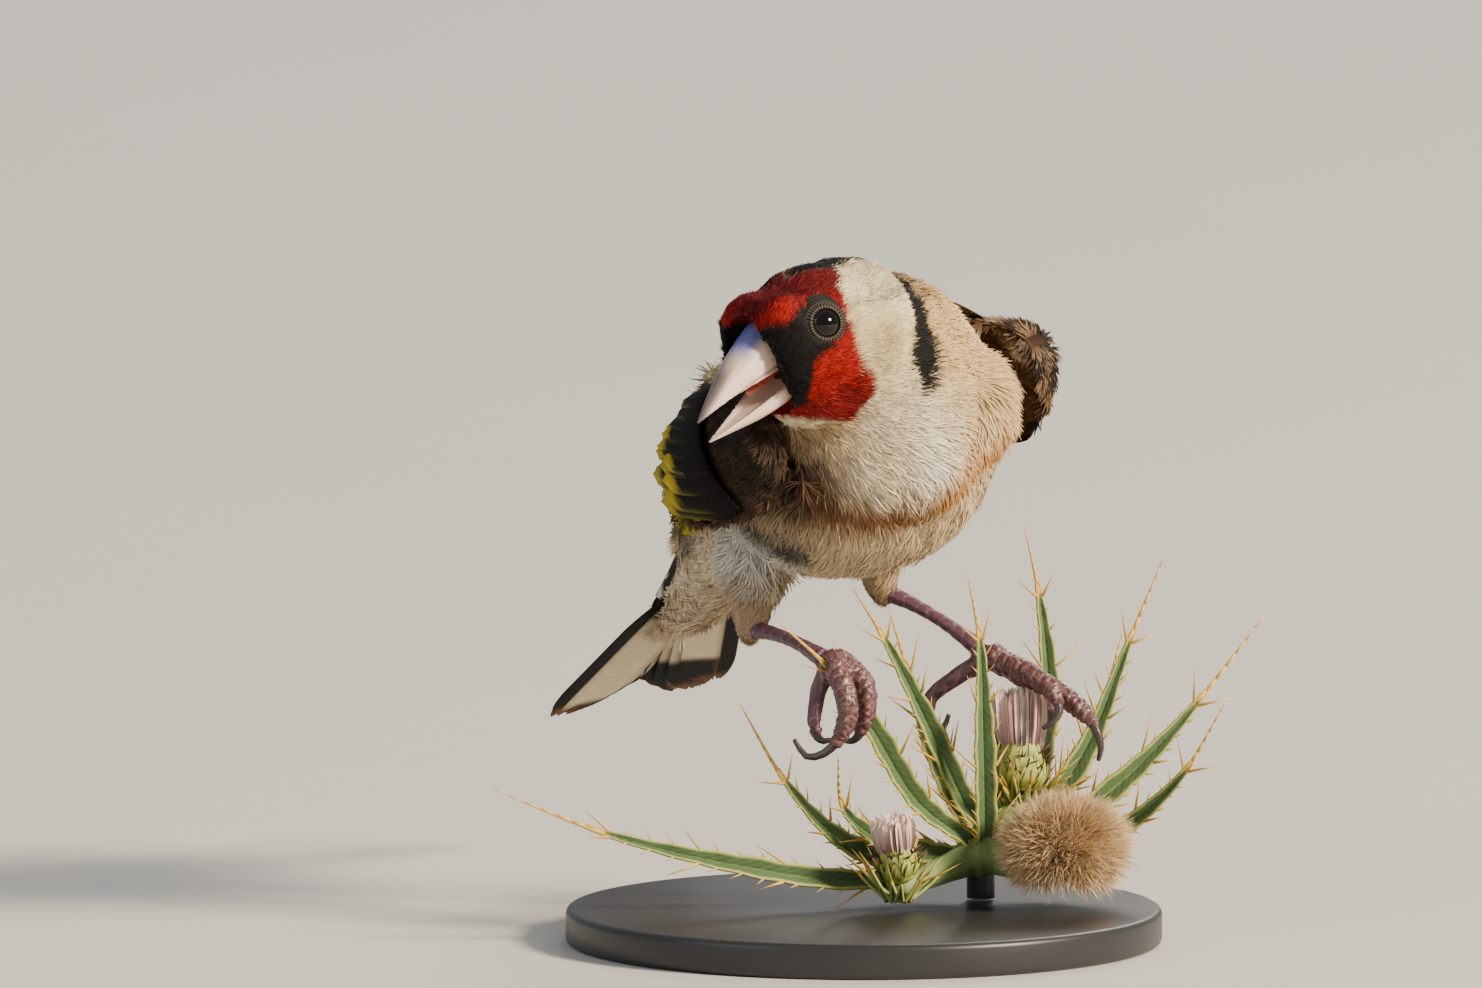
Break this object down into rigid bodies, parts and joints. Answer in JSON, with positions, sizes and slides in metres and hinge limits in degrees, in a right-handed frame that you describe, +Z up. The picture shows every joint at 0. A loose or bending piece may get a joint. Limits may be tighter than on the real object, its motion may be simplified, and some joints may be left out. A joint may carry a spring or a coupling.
{
  "type": "bird display model",
  "caption": "Life-size European goldfinch leaning head down over the cut top of a thistle, bill open and tail raised behind, held by a round flat base and a short rod.",
  "frame": {"origin": "centre of the flat underside of the stand's base", "axes": "+Z up out of the surface that the base stands on; the reference view looks along +Y and slightly down, with +X to its right"},
  "size_m": [0.0884, 0.1054, 0.0796],
  "materials": {
    "head_plumage": "matt plumage: crimson face, white cheek, black crown and collar",
    "body_plumage": "matt plumage, buff brown back and whitish belly",
    "wing_plumage": "satin black flight feathers with a yellow band",
    "tail_plumage": "satin black tail feathers with pale inner webs",
    "eye": "glossy, near black",
    "bill": "smooth ivory horn with a grey tip",
    "tongue": "moist red",
    "scutes": "scaly purplish brown",
    "claws": "satin dark grey horn",
    "stem": "ribbed green stalk",
    "leaf": "matt green leaf with pale veins and straw-coloured spines",
    "bracts": "scaly yellow-green",
    "florets": "pink and white threads",
    "seed_down": "fluffy tan down",
    "stand": "satin black"
  },
  "bodies": {
    "root": {"head": "head_plumage", "neck": "body_plumage", "trunk": "body_plumage", "thigh_left": "body_plumage", "thigh_right": "body_plumage", "wing_left": "wing_plumage", "wing_right": "wing_plumage", "tail_left": "tail_plumage", "tail_right": "tail_plumage", "eye_left": "eye", "eye_right": "eye", "bill_upper": "bill", "bill_lower": "bill", "tongue": "tongue", "tarsus_left": "scutes", "tarsus_right": "scutes", "foot_left": "scutes", "foot_right": "scutes", "claw_left_hind": "claws", "claw_left_inner": "claws", "claw_left_middle": "claws", "claw_left_outer": "claws", "claw_right_hind": "claws", "claw_right_inner": "claws", "claw_right_middle": "claws", "claw_right_outer": "claws", "perch_stem": "stem", "perch_leaf_front": "leaf", "perch_leaf_gripped": "leaf", "perch_leaf_left_inner": "leaf", "perch_leaf_left_long": "leaf", "perch_leaf_left_low": "leaf", "perch_leaf_rear": "leaf", "perch_leaf_rear_left": "leaf", "perch_leaf_rear_right": "leaf", "perch_leaf_right_long": "leaf", "perch_leaf_right_low": "leaf", "perch_leaf_right_tall": "leaf", "perch_leaf_upright": "leaf", "perch_bud_main": "bracts", "perch_bud_side": "bracts", "perch_florets_main": "florets", "perch_florets_side": "florets", "perch_seedhead": "seed_down", "stand_base": "stand", "stand_rod": "stand"}
  },
  "joints": []
}
